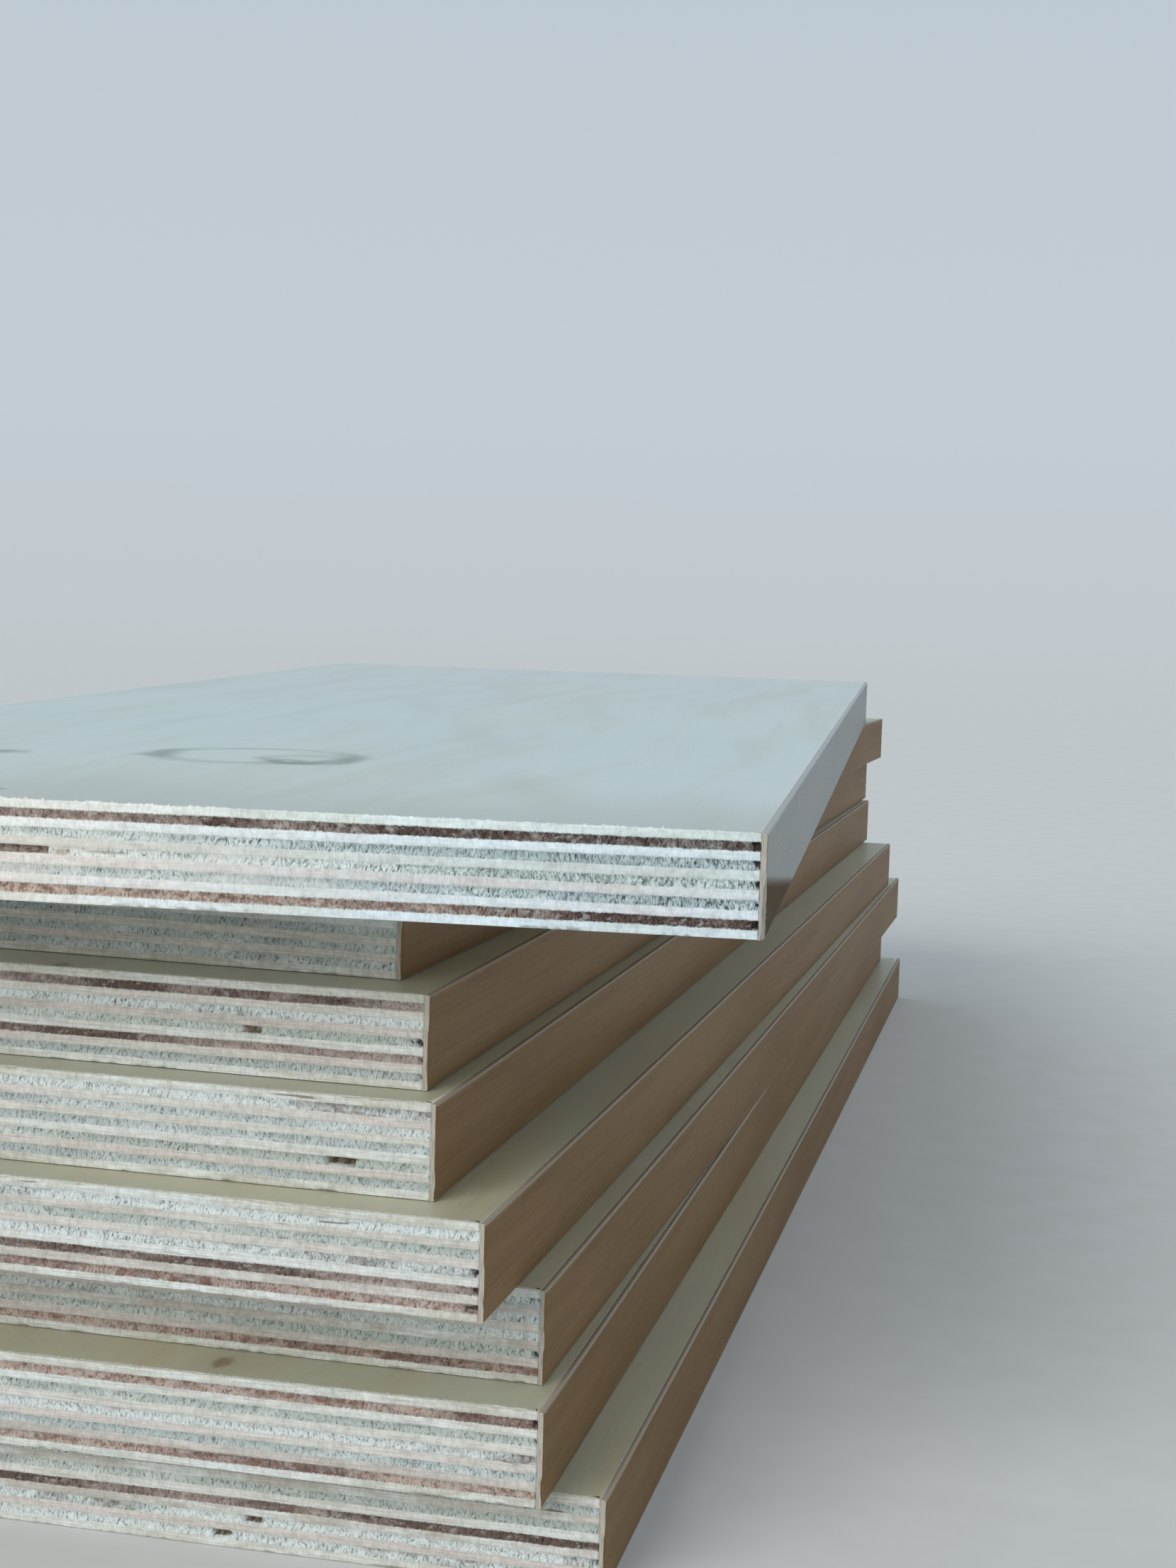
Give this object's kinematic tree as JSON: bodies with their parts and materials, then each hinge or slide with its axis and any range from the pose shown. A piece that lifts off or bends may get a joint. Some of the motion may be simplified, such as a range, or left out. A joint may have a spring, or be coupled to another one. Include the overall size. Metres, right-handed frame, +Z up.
{
  "type": "stack of plywood sheets",
  "caption": "Stack of small plywood panels with bare ply ends and a glued gloss edge band on one long side, laid loosely on each other with uneven overhangs.",
  "frame": {"origin": "under the middle of the whole stack's outline, on the surface that the lowest panel lies on", "axes": "+Z up through the stack, +Y along the panels away from the bare ply ends that show in front, +X across them towards the banded long edges"},
  "size_m": [0.3204, 0.7032, 0.144],
  "materials": {
    "plywood": "pale veneer faces with a satin clear coat, bare sawn edges with light and dark plies",
    "edge_band": "smooth gloss tan strip"
  },
  "bodies": {
    "root": {"sheet_1": "plywood", "sheet_2": "plywood", "sheet_3": "plywood", "sheet_4": "plywood", "sheet_5": "plywood", "sheet_6": "plywood", "sheet_7": "plywood", "sheet_8": "plywood", "edge_band_1": "edge_band", "edge_band_2": "edge_band", "edge_band_3": "edge_band", "edge_band_4": "edge_band", "edge_band_5": "edge_band", "edge_band_6": "edge_band", "edge_band_7": "edge_band", "edge_band_8": "edge_band"}
  },
  "joints": []
}
